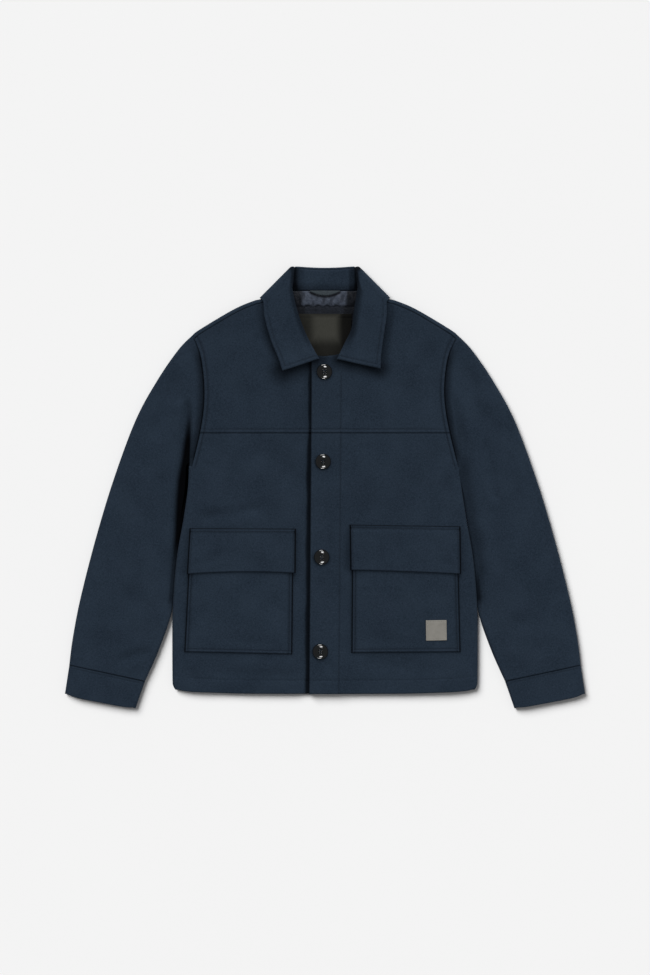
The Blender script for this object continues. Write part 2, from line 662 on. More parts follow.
# The cuffs. Each is a doubled band of melton sewn to the sleeve's end and topstitched beside the seam.
CUFF_END = [
    (459.7, -363.5), (447, -368.8), (425, -374), (398, -379.3), (363, -386), (347, -388.6),
    (334.8, -389.4),
]
CUFF_GAP = (0, -SEAM)
CUFF_STITCH = 3.4
CUFF_MESH = (128, 49)
STITCH = {"pitch": 3.3, "length": 2.7, "radius": 0.36, "flat": 1.15, "sunk": 0.2}


def thread_segment(sides=5):
    """One stitch, unit long and unit thick: a rod with round ends that dip into the cloth."""
    rings = [(-0.5, 0.35, -1), (-0.36, 0.9, -0.3), (0, 1, 0), (0.36, 0.9, -0.3), (0.5, 0.35, -1)]
    points = []
    for along, radius, sink in rings:
        for k in range(sides):
            turn = 2 * math.pi * k / sides
            points.append((along, radius * math.cos(turn), radius * math.sin(turn) + 0.5 * sink))
    quads = []
    for low in range(0, (len(rings) - 1) * sides, sides):
        quads += [(low + k, low + (k + 1) % sides, low + sides + (k + 1) % sides, low + sides + k)
                  for k in range(sides)]
    caps = [tuple(range(sides))[::-1], tuple(range((len(rings) - 1) * sides, len(rings) * sides))]
    return np.array(points), np.array(quads), np.array(caps)


def sew(name, rows, finish, slot="melton", pitch=STITCH["pitch"]):
    """Rows of stitches as one piece. Each row is a line and the function that gives the cloth's height."""
    unit, quads, caps = thread_segment()
    long_, radius = STITCH["length"], STITCH["radius"]
    points, all_quads, all_caps, count = [], [], [], 0
    for line, height in rows:
        length = length_of(line)
        share = (np.arange(int(length / pitch)) + 0.5) * pitch / length
        middle = line(share)
        ahead = line(np.minimum(share + 0.2 / length, 1)) - line(np.maximum(share - 0.2 / length, 0))
        ahead = ahead / np.linalg.norm(ahead, axis=-1, keepdims=True)
        before, after = (height(*(middle + ahead * long_ / 2 * k).T) for k in (-1, 1))
        centre = (before + after) / 2 + radius - STITCH["sunk"]
        for p, a, rise, z in zip(middle, ahead, (after - before) / long_, centre):
            x = unit[:, 0] * long_
            y = unit[:, 1] * radius * STITCH["flat"]
            flat = p + x[:, None] * a + y[:, None] * (-a[1], a[0])
            points.append(raised(flat, z + x * rise + unit[:, 2] * radius))
            all_quads.append(quads + count)
            all_caps.append(caps + count)
            count += len(unit)
    faces = [np.concatenate(all_quads), np.concatenate(all_caps)]
    return mesh_piece(name, finish, np.concatenate(points), faces, slot=slot)


def spun_thread(name, size, colours, detail, gloss):
    """Polyester sewing thread: two smooth plies, a little paler and glossier than what it holds."""
    made, shader = new_material(name)
    ply = noise(made, size, Detail=detail)
    fill(made, shader, {"Base Color": blended(made, ply, *colours), "IOR": 1.5, **gloss})
    return made


thread = spun_thread("sewing_thread", 1.2, ("18212c", "26313e"), 1.0,
                     {"Roughness": 0.7, "Specular IOR Level": 0.15})


def cuff(which, side):
    flip = lambda p: np.array(p) * (side, 1)
    tops = [flip(p) + flip(CUFF_GAP) for p in (SLEEVE_OUTER[-1], SLEEVE_INNER[-1])]
    outer, inner = straight(tops[0], flip(CUFF_END[0])), straight(tops[1], flip(CUFF_END[-1]))
    seam, end = polyline(tops), curve(CUFF_END, side)

    def height(x, y):
        from_seam, from_end = distance(x, y, seam), distance(x, y, end)
        own = EDGE_HEIGHT + LOFT * smooth(0, 30, nearest(x, y, (outer, inner))) - rounded(from_seam)
        own = own - rounded(from_end, 1.6, 2.2) - stitched(from_seam, CUFF_STITCH, 0.5)
        return own + puckers(from_seam, x, 8, 0.25) + ripple(x, y, 0.6)

    def top(x, y, u, v):
        edge = np.minimum(smooth(0, 0.05, u), smooth(0, 0.05, 1 - u))
        from_seam, from_end = distance(x, y, seam), distance(x, y, end)
        rim = EDGE_HEIGHT - rounded(from_seam) - rounded(from_end, 1.6, 2.2)
        dark = 0.35 * cleft(from_seam, 1.3) + 0.12 * crease(from_seam, CUFF_STITCH)
        return mix(rim, height(x, y), edge), dark

    def bowed(a, b):
        """The cuff's end, moved to run from a to b."""
        return lambda share: end(share) + mix(a - end(0), b - end(1), np.asarray(share)[..., None])

    wide, tall = CUFF_MESH
    columns = places(wide, 3.6, 1, 2.5, wide - 2.5, wide - 1)
    rows = places(tall, 3.2, 0.6, 1.4, 2.4, 3.4, 4.4, 5.4, tall - 2.5, tall - 1.7, tall - 0.8, tall - 0.3)
    piece = tube(f"cuff_cloth_{which}", side, outer, inner, straight, bowed, top, rows, columns,
                 node_name=f"cuff_{which}")
    down = (outer(1) - outer(0)) / length_of(outer) * CUFF_STITCH
    row = straight(*(mix(outer(0), inner(0), k) + down for k in (0.035, 0.965)))
    return piece, (row, height)


cuff_rows = []
for which, side in SIDES.items():
    piece, row = cuff(which, side)
    cuff_rows.append(row)
sew("cuff_topstitching", cuff_rows, thread)

# The lower fronts and the yokes. Melton over quilting; each yoke is lapped over its lower front and
# topstitched, and so is the body over the sleeve's seam. The left front laps over the right one.
NECK_FRONT_Y = 231
FRONT_LEAN = 0.0145
LEFT_LEAN = 0.0075
LAP_HALF = 25
NECK_LINING_ROOM = 3.2
SLOPE = 25
LAP_REST = 0.5
NECKLINE = [(24, 236), (47, 253), (52, 260), (66.5, 283), (78, 314), (78.5, 333)]
NECKLINE_STRIP_ROW = 2
STRIP_WIDTH = 79
TOPSTITCH = 6.6
YOKE_LAP = 0.7
PLACKET = 52.5
HEM_STITCH = 24
AROUND_STITCH = np.array((-2, -1.2, -0.6, 0, 0.6, 1.2, 2))
NEAR_EDGE = np.array((0.4, 1, 1.7, 2.6, 3.8))
LOWER_FRONT_TALL = 463
YOKE_TALL = 236


def centre_at(y):
    """The middle of the lap leans a little towards the wearer's right at the hem."""
    return -1 - FRONT_LEAN * (206 - y)


def lap_top(y):
    return 2 * WALL + REST + NECK_LINING_ROOM * smooth(120, 212, y)


def from_centre(x, y, side):
    return (x - centre_at(y)) * side - LAP_HALF - 2


def front_edge_x(side, y):
    """Where a front ends at the lap. The left one, on top, hangs straighter than the buttons' line."""
    return -24 - LEFT_LEAN * (206 - y) if side > 0 else centre_at(y) + LAP_HALF


def plain_front(side):
    """The height of a front, before its sewing."""
    if side < 0:
        return lambda x, y: mix(lap_top(y), body_top(x, y), smooth(0, SLOPE, from_centre(x, y, -1)))
    lap = lambda y: lap_top(y) + LAP_REST + WALL
    slope = lambda x, y: smooth(0, SLOPE, from_centre(x, y, 1))
    return lambda x, y: mix(lap(y) + 0.4 * ripple(x, y), body_top(x, y), slope(x, y))


def armhole_dip(x, y, side):
    d = distance(x, y, armholes[side])
    return rounded(d, 1.6, 2) + stitched(d, TOPSTITCH, 0.8) - puckers(d, y, 8, 0.4)


def armhole_tone(x, y, side):
    d = distance(x, y, armholes[side])
    return 0.6 * cleft(d, 1.3) + 0.3 * crease(d, TOPSTITCH)


def lap_lift(x, y):
    """The left front's edge curls up a little off the right front."""
    return 1.8 * smooth(12, 0, x - front_edge_x(1, y)) * (1 - 0.3 * np.sin(y / 29))


def lap_tone(x, y, side):
    """How dark it is beside the left front's edge: on the edge itself, and on the right front it lies on."""
    off = front_edge_x(1, y) - x
    if side > 0:
        return 0.6 * cleft(-off, 2.4) + 0.16 * crease(-off, PLACKET, 1.6)
    wide = 6.4 + 3 * smooth(120, 20, y) + 0.8 * np.sin(y / 23) + 0.6 * np.sin(y / 9.5)
    return 0.78 * smooth(wide, 0.5 * wide, off) * smooth(-3, -1, off)


def sewn_front(side, x, y):
    """What the left front's edge and the sewing of its placket add to its height."""
    edge = (x - front_edge_x(side, y)) * side
    return lap_lift(x, y) - 0.6 * crease(edge, PLACKET, 1.2) if side > 0 else 0


def lower_front_height(side):
    plain = plain_front(side)

    def height(x, y):
        edge = (x - front_edge_x(side, y)) * side
        below = YOKE_Y - y
        hem = y - np.interp(abs(x), *np.array(HEM).T)
        z = plain(x, y) - rounded(edge, 1.5, 2) - rounded(below, 1.2, 1.8) + puckers(below, x, 7, 0.22)
        z = z - rounded(hem, 1.6, 2.2) - 0.45 * crease(hem, HEM_STITCH, 1.4)
        z = z + puckers(abs(hem - HEM_STITCH), x, 6, 0.15) + sewn_front(side, x, y)
        z = z - np.where(y > 25, armhole_dip(x, y, side) * smooth(28, 42, y), 0)
        if side > 0:
            z = z + 0.35 * smooth(20, 50, edge) * smooth(PLACKET + 1, PLACKET - 1, edge)
        return z

    return height


def lower_front_tone(side, x, y):
    hem = y - np.interp(abs(x), *np.array(HEM).T)
    tone = 0.3 * cleft(YOKE_Y - y, 1.8) + 0.08 * crease(hem, HEM_STITCH) + lap_tone(x, y, side)
    return tone + np.where(y > 25, armhole_tone(x, y, side) * smooth(28, 42, y), 0)


def shoulder_seam(side):
    return beside(curve(SHOULDER, side), -side * (SHOULDER_SEAM_IN + SEAM))


def yoke_height(side):
    plain, shoulder = plain_front(side), shoulder_seam(side)

    def height(x, y):
        edge = (x - front_edge_x(side, y)) * side
        above = y - YOKE_Y
        z = plain(x, y) + YOKE_LAP - rounded(edge, 1.5, 2) - rounded(above, 1.6, 2)
        z = z - stitched(above, TOPSTITCH) + puckers(above, x, 8, 0.25)
        z = z - armhole_dip(x, y, side) + sewn_front(side, x, y)
        return z - rounded(distance(x, y, shoulder), 1.3, 2)

    return height


def yoke_tone(side, x, y):
    tone = 0.4 * cleft(y - YOKE_Y, 1.2) + 0.12 * crease(y - YOKE_Y, TOPSTITCH) + lap_tone(x, y, side)
    return tone + armhole_tone(x, y, side) + 0.35 * cleft(distance(x, y, shoulder_seam(side)), 1.5)


def share_at(line, y):
    """The share of a rising line's length at which it reaches a height."""
    shares = np.linspace(0, 1, 400)
    return np.interp(y, line(shares)[:, 1], shares)


def lower_front(which):
    side = SIDES[which]
    side_in = side_inset(side)
    top, hem_y = YOKE_Y - SEAM / 2, HEM[0][1]
    yoke_share = share_at(armholes[side], top)
    start = joined(side_in, lambda share: armholes[side](np.asarray(share) * yoke_share))
    edge = straight(*((front_edge_x(side, y), y) for y in (hem_y, top)))
    hem = curve([*HEM[:0:-1], (edge(0)[0] * side, hem_y)], side)
    side_share = length_of(side_in) / length_of(start)
    tall, long_ = LOWER_FRONT_TALL, length_of(hem)
    marks = [*NEAR_EDGE, *(HEM_STITCH + AROUND_STITCH), side_share * tall, *(tall - NEAR_EDGE)]
    v = places(tall, 3.8, *marks) / tall
    near_lap = np.arange(27, 66, 2.2)
    marks = [*NEAR_EDGE, *(TOPSTITCH + AROUND_STITCH), *(long_ - NEAR_EDGE), *(long_ - near_lap)]
    if side > 0:
        marks += list(long_ - PLACKET - AROUND_STITCH)
    u = warped(places(long_, 3.8, *marks), np.linalg.norm(edge(v) - start(v), axis=-1))
    flat = spread(hem, straight(start(1), edge(1)), start, edge, u, np.broadcast_to(v, u.shape))
    z = lower_front_height(side)(flat[..., 0], flat[..., 1])
    sides = int(np.argmin(abs(v - side_share)))
    rows = v[: sides + 1] / side_share
    rolls = np.zeros((2, ROLL_STEPS, len(v), 3))
    out = np.tile((float(side), 0), (len(rows), 1))
    tops = z[0, : sides + 1][:, None]
    for k in range(ROLL_STEPS):
        angle = mix(0.04, math.pi / 2, k / ROLL_STEPS)
        rolls[:, k, : sides + 1] = rolled(side_in(rows), out, angle, ROLL, tops - ROLL)
    at = np.concatenate([rolls[0], raised(flat, z)])
    facing = np.concatenate([rolls[1], looking(1, *z.shape)])
    cells = np.ones((at.shape[0] - 1, len(v) - 1), bool)
    cells[:ROLL_STEPS, sides:] = False
    tone = lower_front_tone(side, at[..., 0], at[..., 1])
    node_name = f"front_{which}"
    return wall(f"front_cloth_{which}", melton, at, facing, WALL, cells, shade=tone, node_name=node_name)


def yoke(which):
    """Two patches that meet on a line: the one between armhole and neck, and a strip by the lap."""
    side = SIDES[which]
    low = YOKE_Y + SEAM / 2
    shoulder, whole = shoulder_seam(side), armholes[side]
    yoke_share = share_at(whole, low)
    rising = lambda share: whole(mix(yoke_share, 0.99, np.asarray(share)))
    armhole = joined(rising, straight(whole(0.99), shoulder(1)))
    corner = (front_edge_x(side, NECK_FRONT_Y) * side, NECK_FRONT_Y)
    near_neck = curve([corner, *NECKLINE[: NECKLINE_STRIP_ROW + 1]], side)
    far_neck = curve(NECKLINE[NECKLINE_STRIP_ROW:], side)
    line = straight((front_edge_x(side, low) + side * STRIP_WIDTH, low), near_neck(1))
    end = joined(line, joined(far_neck, straight(far_neck(1), shoulder(0))))
    strip_share = length_of(line) / length_of(end)
    tall = YOKE_TALL
    near_seam = [*NEAR_EDGE, *(TOPSTITCH + AROUND_STITCH)]
    v = places(tall, 3.8, *near_seam, strip_share * tall, *(tall - NEAR_EDGE)) / tall
    strips = int(np.argmin(abs(v - strip_share)))
    bottom = straight(armhole(0), line(0))
    u = warped(places(length_of(bottom), 3.8, *near_seam), np.linalg.norm(end(v) - armhole(v), axis=-1))
    main = spread(bottom, backwards(shoulder), armhole, end, u, np.broadcast_to(v, u.shape))
    marks = [*(STRIP_WIDTH - NEAR_EDGE), *(STRIP_WIDTH - PLACKET - AROUND_STITCH)]
    across = places(STRIP_WIDTH, 3.2, *marks) / STRIP_WIDTH
    uu, vv = np.meshgrid(across, np.minimum(v / v[strips], 1), indexing="ij")
    front = straight(*((front_edge_x(side, y), y) for y in (low, NECK_FRONT_Y)))
    strip = spread(straight(line(0), front(0)), backwards(near_neck), line, front, uu, vv)
    flat = np.concatenate([main, strip[1:]])
    cells = np.ones((flat.shape[0] - 1, len(v) - 1), bool)
    cells[len(main) - 1 :, strips:] = False
    x, y = flat[..., 0], flat[..., 1]
    return wall(f"yoke_cloth_{which}", melton, raised(flat, yoke_height(side)(x, y)), (0, 0, 1), WALL, cells,
                shade=yoke_tone(side, x, y), node_name=f"yoke_{which}")


front_rows, yokes = [], {}
for which, side in SIDES.items():
    yokes[which] = yoke(which)
    lower_front(which)
    armhole = beside(armholes[side], side * TOPSTITCH)
    above = YOKE_Y + TOPSTITCH
    front_rows += [
        (lambda s, a=armhole: a(mix(0.02, 0.25, s)), lower_front_height(side)),
        (lambda s, a=armhole: a(mix(0.26, 0.97, s)), yoke_height(side)),
        (straight((213 * side, above), (front_edge_x(side, YOKE_Y) + side * 3, above)), yoke_height(side)),
    ]
placket = lambda low, high: straight(*((front_edge_x(1, y) + PLACKET, y) for y in (low, high)))
front_rows.append((placket(HEM[0][1] + 3, YOKE_Y - 3), lower_front_height(1)))
front_rows.append((placket(YOKE_Y + 3, 240), yoke_height(1)))
sew("front_topstitching", front_rows, thread)

# The pockets and flaps. Patch pockets of melton turned in at the edges and topstitched on; each flap is
# doubled, sewn down above its pocket's mouth, and lifts a little at its free edges.
POCKET = {
    "right": {
        "top_out": (-238, -84), "top_in": (-55.6, -84),
        "bottom_out": (-248.4, -289), "bottom_in": (-57.6, -293),
    },
    "left": {
        "top_out": (234.2, -80), "top_in": (48, -80),
        "bottom_out": (239.4, -289), "bottom_in": (46.5, -290.5),
    },
}
FLAP = {
    "right": {
        "top_out": (-238.9, -70.8), "top_in": (-51.2, -71.7),
        "bottom_out": (-243.5, -151.6), "bottom_in": (-51.7, -150),
    },
    "left": {
        "top_out": (239, -67.5), "top_in": (43.5, -64.5),
        "bottom_out": (240, -151.5), "bottom_in": (44.5, -144.5),
    },
}
FLAP_BOW = {"right": 3.2, "left": 0.8}
POCKET_THICK = 2.6
POCKET_REST = 0.45
POCKET_STITCH = 5.2
FLAP_STITCH = 5
FLAP_LIFT = 1.6
POCKET_FOLDS = [
    (-217, -202, -222, -242, 2.0, 12, 0), (-134, -190, -120, -262, -1.2, 20, 0),
    (202, -176, 212, -226, 2.0, 10, 0), (110, -196, 122, -262, -1.0, 20, 0),
    (-196, -265, -90, -280, 0.8, 10, 0), (70, -268, 160, -276, 0.8, 10, 0),
]
FLAP_FOLDS = [
    (-182, -112, -216, -142, 1.5, 9, 0), (-120, -82, -96, -128, -0.9, 14, 0),
    (122, -84, 134, -128, 1.0, 12, 0), (204, -126, 222, -144, 1.4, 8, 0),
]


def edges_of(corners, bow=0):
    """The four edges of a patch of cloth. Its bottom edge may be drawn up in the middle."""
    line = lambda a, b: straight(corners[a], corners[b])
    t = np.linspace(0, 1, 33)
    bottom = line("bottom_out", "bottom_in")(t) + np.stack([0 * t, 4 * bow * t * (1 - t)], -1)
    return {"bottom": polyline(bottom), "top": line("top_out", "top_in"),
            "out": line("bottom_out", "top_out"), "in": line("bottom_in", "top_in")}


def ends_of(edges):
    return edges["out"], edges["in"]


def laid(name, edges, step, top, thick, stitch, finish, tone=None, **facts):
    """A patch of cloth between four edges, lying on what is under it."""
    near = np.array([*NEAR_EDGE, *(stitch + AROUND_STITCH if stitch else [])])
    u, v = (places(n, step, *near, *(n - near)) / n for n in map(length_of, (edges["bottom"], edges["out"])))
    uu, vv = np.meshgrid(u, v, indexing="ij")
    flat = spread(edges["bottom"], edges["top"], edges["out"], edges["in"], uu, vv)
    x, y = flat[..., 0], flat[..., 1]
    shade = tone(x, y) if tone else None
    return wall(name, finish, raised(flat, top(x, y)), (0, 0, 1), thick, shade=shade, **facts)


pocket_edges = {which: edges_of(POCKET[which]) for which in SIDES}
flap_edges = {which: edges_of(FLAP[which], FLAP_BOW[which]) for which in SIDES}


def pocket_height(which):
    plain, edges = plain_front(SIDES[which]), pocket_edges[which]

    def height(x, y):
        d = nearest(x, y, (*ends_of(edges), edges["bottom"]))
        z = plain(x, y) + POCKET_REST + POCKET_THICK - rounded(d, 1.8, 1.8) - stitched(d, POCKET_STITCH)
        return z + puckers(d, x + y, 8, 0.22) - folds(x, y, POCKET_FOLDS) * smooth(6, 20, d)

    return height


def pocket_tone(which, x, y):
    edges = pocket_edges[which]
    sides, bottom = nearest(x, y, ends_of(edges)), distance(x, y, edges["bottom"])
    tone = np.maximum(0.88 * smooth(4, 1, sides), 0.42 * cleft(bottom, 2))
    tone = tone + 0.4 * crease(sides, POCKET_STITCH + 1, 1.2) + 0.14 * crease(bottom, POCKET_STITCH)
    return np.clip(tone, 0, 0.95)


def flap_height(which):
    plain, edges = plain_front(SIDES[which]), flap_edges[which]

    def height(x, y):
        top, bottom = (distance(x, y, edges[k]) for k in ("top", "bottom"))
        ends = nearest(x, y, ends_of(edges))
        over_pocket = smooth(-69, -77, y) * (POCKET_THICK + POCKET_REST)
        d = np.minimum(np.minimum(top, bottom), ends)
        z = plain(x, y) + POCKET_REST + over_pocket + DOUBLED_MELTON - rounded(d, 1.7, 2.1)
        z = z - stitched(np.minimum(top, ends), FLAP_STITCH, 0.5) + puckers(top, x, 8, 0.25)
        lift = FLAP_LIFT * smooth(5, 60, top) * smooth(26, 0, ends)
        return z + lift - folds(x, y, FLAP_FOLDS) * smooth(6, 20, d)

    return height


def flap_tone(which, x, y):
    edges = flap_edges[which]
    top, bottom = (distance(x, y, edges[k]) for k in ("top", "bottom"))
    ends = nearest(x, y, ends_of(edges))
    tone = np.maximum(0.93 * smooth(4.2, 1.2, ends), 0.72 * smooth(3, 0.6, top)) + 0.15 * cleft(bottom, 1)
    tone = tone + 0.42 * crease(top, FLAP_STITCH + 0.6, 1.4) + 0.15 * crease(ends, FLAP_STITCH, 1.2)
    return np.clip(tone, 0, 0.95)


def inward(corners, names, stitch):
    """Rows of sewing inside a patch's edges, from one named corner to the next."""
    middle = sum(x for x, _ in corners.values()) / 4
    moved = []
    for name in names:
        x, y = corners[name]
        moved.append((x + math.copysign(stitch, middle - x), y - stitch if "top" in name else y + stitch))
    return [straight(a, b) for a, b in zip(moved, moved[1:])]


pocket_rows = []
for which in SIDES:
    pocket = laid(f"pocket_cloth_{which}", pocket_edges[which], 3.8, pocket_height(which), POCKET_THICK,
                  POCKET_STITCH, melton, lambda x, y: pocket_tone(which, x, y), node_name=f"pocket_{which}")
    flap = laid(f"flap_cloth_{which}", flap_edges[which], 3.8, flap_height(which), DOUBLED_MELTON,
                FLAP_STITCH, melton, lambda x, y: flap_tone(which, x, y), node_name=f"flap_{which}")
    bag = inward(POCKET[which], ("top_out", "bottom_out", "bottom_in", "top_in"), POCKET_STITCH)
    lid = inward(FLAP[which], ("bottom_out", "top_out", "top_in", "bottom_in"), FLAP_STITCH)
    pocket_rows += [(line, pocket_height(which)) for line in bag]
    pocket_rows += [(line, flap_height(which)) for line in lid]
sew("pocket_topstitching", pocket_rows, thread)

# The patch on the left pocket. A bare square of grey coated leather, sewn on round its edge with grey
# thread.
POCKET_PATCH = {
    "top_out": (214.2, -232.8), "top_in": (177.9, -233.4),
    "bottom_out": (214.7, -268.6), "bottom_in": (178.3, -269.4),
}
PATCH_THICK = 1.2
PATCH_STITCH = 2.4


def coated_leather():
    """Grey split leather with a matt coating: fine shallow grain, and a slightly worn tone."""
    made, shader = new_material("coated_leather")
    place = node(made, "ShaderNodeTexCoord").outputs["Object"]
    cells = {"Vector": place, "Scale": 1 / (1.1 * MM)}
    grain = node(made, "ShaderNodeTexVoronoi", cells, feature="F1").outputs["Distance"]
    worn = noise(made, 9, Detail=4.0)
    fill(made, shader, {
        "Base Color": blended(made, worn, "77756f", "8f8c86"), "IOR": 1.5, "Specular IOR Level": 0.3,
        "Roughness": ranged(made, worn, {"To Min": 0.6, "To Max": 0.8}),
        "Normal": bumped(made, grain, 0.3, 0.15),
    })
    return made


patch_edges = edges_of(POCKET_PATCH)


def patch_height(x, y):
    d = nearest(x, y, patch_edges.values())
    bed = plain_front(1)(x, y) + POCKET_REST + POCKET_THICK - folds(x, y, POCKET_FOLDS)
    return bed + REST + PATCH_THICK - rounded(d, 0.5, 0.7) - 0.35 * crease(d, PATCH_STITCH, 0.7)


patch = laid("leather_patch", patch_edges, 1.6, patch_height, PATCH_THICK, PATCH_STITCH, coated_leather(),
             slot="patch", node_name="pocket_patch")
grey_thread = spun_thread("grey_thread", 0.9, ("6d6c68", "a6a49e"), 2.0, {"Roughness": 0.6})
round_patch = inward(POCKET_PATCH, ("top_out", "top_in", "bottom_in", "bottom_out", "top_out"), PATCH_STITCH)
sew("patch_stitching", [(line, patch_height) for line in round_patch], grey_thread, slot="patch")

# The neck's lining. Quilted navy nylon seen through the neck: gathered into a soft roll where it is sewn to
# the collar, flat below that. On it are a plain dark satin label and a hanging loop of paler wool.
LINING_THICK = 1.5
LINING_REST = 0.4
LINING_LOW_Y = 226
LINING_HIGH_Y = 347.5
LINING_HALF = {"low": 60, "high": 58}
GATHER_SEAM_Y = 320
GATHER_HEIGHT = 2.4
LABEL = {"top_out": (-46, 307.5), "top_in": (47, 307.5), "bottom_out": (-45, 229), "bottom_in": (46, 229)}
LABEL_THICK = 0.7
LABEL_LIFT = 0.4
LABEL_HEM = 5.5
LOOP = {"half": 27, "top": 348.2, "end": 347.5, "drop": 8, "thick": 1.6, "rest": 1.2}


def quilted_nylon():
    """Navy nylon taffeta over thin wadding: a fine weave whose bluish gloss catches on each gather."""
    made, shader = new_material("quilted_nylon")
    wrinkle = noise(made, 5.5, Detail=3.0, Distortion=1.4)
    fill(made, shader, {
        "Base Color": darkened(made, blended(made, wrinkle, "1f262f", "575e6d")), "Roughness": 0.4,
        "IOR": 1.53, "Specular IOR Level": 0.08, "Sheen Weight": 0.03, "Sheen Roughness": 0.3,
        "Normal": bumped(made, wrinkle, 0.7, 1.6),
    })
    return made


def woven_satin():
    """Brown-black damask satin: warp floats all lie one way, so it has a soft streaky gloss."""
    made, shader = new_material("woven_satin")
    place = node(made, "ShaderNodeTexCoord").outputs["Object"]
    grain = {"Vector": place, "Scale": (1 / (0.6 * MM), 1 / (8 * MM), 1 / MM)}
    lie = node(made, "ShaderNodeMapping", grain).outputs["Vector"]
    floats = node(made, "ShaderNodeTexNoise", {"Vector": lie, "Scale": 1.0, "Detail": 2.0}).outputs["Fac"]
    fill(made, shader, {
        "Base Color": darkened(made, blended(made, floats, "32322e", "43433e")), "Roughness": 0.5,
        "IOR": 1.5, "Specular IOR Level": 0.05, "Anisotropic": 0.5,
        "Normal": bumped(made, floats, 0.25, 0.1),
    })
    return made


def lining_bed(y):
    return WALL + collar_lift(y) + LINING_REST


def loop_arc(x):
    """The lower edge of the hanging loop."""
    return LOOP["end"] - LOOP["drop"] * np.clip(1 - (x / LOOP["half"]) ** 2, 0, 1)


def drawn_up(x):
    """How far through its wave the gathering is at a place across the neck."""
    return x / 3.1 + 1.4 * np.sin(x / 17)


def gathers(x, y):
    """The small folds that gathering leaves, some straight and some slanting."""
    wrinkles = 0.6 * np.sin(drawn_up(x) + 0.6 * np.sin(y / 5)) + 0.3 * np.sin(x / 1.75 + y / 6 + 1)
    return wrinkles + 0.35 * np.sin((x - 0.8 * y) / 2.6 + 2 * np.sin(x / 23))


def lining_top(x, y):
    up = np.clip((y - GATHER_SEAM_Y) / (LINING_HIGH_Y + 3 - GATHER_SEAM_Y), 0, 1)
    gathered = np.sin(np.pi * up) ** 0.6
    seam = 0.6 * crease(y, GATHER_SEAM_Y, 1.8)
    return lining_bed(y) + LINING_THICK + gathered * (GATHER_HEIGHT + 1.1 * gathers(x, y)) - seam


def lining_tone(x, y):
    """It is dark near the collar's leaves, under the loop, and where the gathers dip to their seam."""
    below = smooth(GATHER_SEAM_Y + 3, GATHER_SEAM_Y - 1, y)
    scallops = GATHER_SEAM_Y + 0.8 + 1.5 * np.sin(drawn_up(x))
    across = x + 2.4 * gathers(x, y)
    left = smooth(mix(34, 21, below), mix(42, 34, below), across)
    right = smooth(mix(36, 24, below), mix(45, 36, below), -across)
    return np.maximum.reduce([
        0.88 * left, 0.88 * right, 0.78 * below, 0.85 * crease(y, scallops, 2.4),
        0.92 * crease(y, loop_arc(x) - 2.2, 2.2) * smooth(31, 25, abs(x)),
        0.45 * smooth(0.1, -0.8, gathers(x, y)) * (1 - below), 0.85 * smooth(290, 226, y),
    ])


rows = places(LINING_HIGH_Y - LINING_LOW_Y, 1.6)
u, v = np.meshgrid(np.linspace(-1, 1, 130), rows / rows[-1], indexing="ij")
lining_y = LINING_LOW_Y + v * rows[-1]
lining_x = mix(LINING_HALF["low"], LINING_HALF["high"], v) * u
lining_z = lining_top(lining_x, lining_y)
lining = wall("neck_quilting", quilted_nylon(), np.stack([lining_x, lining_y, lining_z], -1), (0, 0, 1),
              lining_z - lining_bed(lining_y), shade=lining_tone(lining_x, lining_y), slot="lining",
              node_name="neck_lining")

label_edges = edges_of(LABEL)


def label_height(x, y):
    d = nearest(x, y, label_edges.values())
    hem = 0.3 * crease(LABEL["top_in"][1] - y, LABEL_HEM, 0.9)
    bed = lining_bed(y) + LINING_THICK + REST + LABEL_THICK + LABEL_LIFT
    return bed - rounded(d, 0.3, 0.5) * smooth(307, 300, y) - hem + 0.2 * ripple(x * 2, y * 2)


def label_tone(x, y):
    """Light reaches its upper middle, and falls off towards the leaves at both sides and the fronts."""
    from_top = LABEL["top_in"][1] - y
    sides = np.maximum(0.58 * smooth(12, 31, -x), 0.88 * smooth(15, 33, x))
    ends = np.maximum(0.7 * smooth(274, 248, y), 0.5 * smooth(7, 0, from_top))
    return np.maximum(sides, ends) + 0.08 * crease(from_top, LABEL_HEM, 1.2)


label = laid("satin_label", label_edges, 2.2, label_height, LABEL_THICK, None, woven_satin(), label_tone,
             slot="label", node_name="neck_label")

t, across = np.meshgrid(np.linspace(-1, 1, 60), np.linspace(0, 1, 9), indexing="ij")
loop_x = LOOP["half"] * t
loop_y = mix(loop_arc(loop_x), LOOP["top"], across)
loop_edge = np.minimum(across, 1 - across) * (LOOP["top"] - loop_arc(loop_x))
loop_z = lining_bed(loop_y) + LINING_THICK + GATHER_HEIGHT + LOOP["rest"] + LOOP["thick"]
loop_at = np.stack([loop_x, loop_y, loop_z - rounded(loop_edge, 0.8, 1.2)], -1)
loop_wool = wool_melton("loop_wool", {"main": "363d42", "shade": "2d3438", "fibre": "4c5358"})
loop = wall("hanging_loop_wool", loop_wool, loop_at, (0, 0, 1), LOOP["thick"], node_name="hanging_loop")

# The collar. Two layers of melton: a stand sewn round the neck, and a fall that rolls over it, is folded on
# the slant at each side of the neck and lies on the fronts with its points, topstitched all round.
STAND_FOOT = [(46, 256), (64.5, 284), (75, 312), (75.8, 336), (77, 350)]
STAND_TOP = [(39, 262), (50, 282), (55, 315), (58.5, 348), (56.4, 382.6)]
STAND_BACK_FOOT_Y = 348.7
STAND_FOLD_RADIUS = 3.75
TOP_FOLD = [(0, 385.6), (14, 385.9), (30, 386.8), (44, 388), (51, 388.5), (55.3, 388.1), (56.4, 383.4)]
SLANT = {"neck": (56.4, 383.4, 8.4), "shoulder": (108.8, 329.5, 9.2)}
LEAF_ROLL = {
    "right": [(-56.5, 350), (-49, 315), (-37, 280), (-24.5, 253), (-9.7, 226.5)],
    "left": [(56.5, 350), (50.5, 315), (46, 280), (33.5, 253), (20.5, 226)],
}
